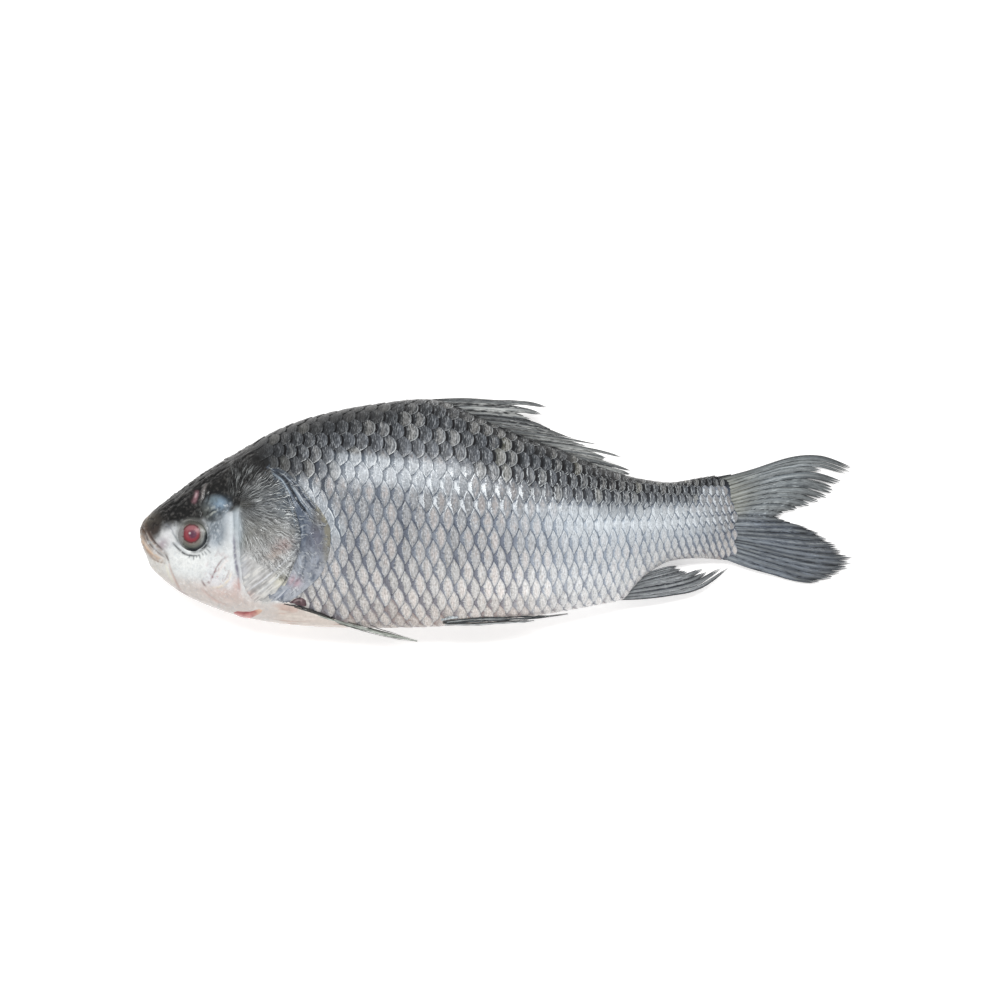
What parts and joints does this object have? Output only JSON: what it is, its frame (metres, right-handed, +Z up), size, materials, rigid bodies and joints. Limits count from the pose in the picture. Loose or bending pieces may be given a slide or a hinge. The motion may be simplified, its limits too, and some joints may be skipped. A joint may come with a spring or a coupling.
{
  "type": "whole raw fish",
  "caption": "Whole raw catla carp lying on its side, with shut mouth, gill covers, eyes, folded paired fins and a frayed forked tail fin; raw food, ready to be cleaned and cooked.",
  "frame": {"origin": "centre of the bounding box's base, on the surface that the fish lies on", "axes": "+X from snout to tail, +Y towards the back, +Z up out of the left flank"},
  "size_m": [0.4799, 0.1643, 0.065],
  "materials": {
    "skin": "wet, silver-grey scaled skin, charcoal on the back and off-white on the belly",
    "fin": "wet, slate-grey ribbed fin web",
    "eye": "wet, glossy, grey-green ring round a blood-red centre"
  },
  "bodies": {
    "root": {"fish": "skin", "eye_left": "eye", "eye_right": "eye"}
  },
  "joints": []
}
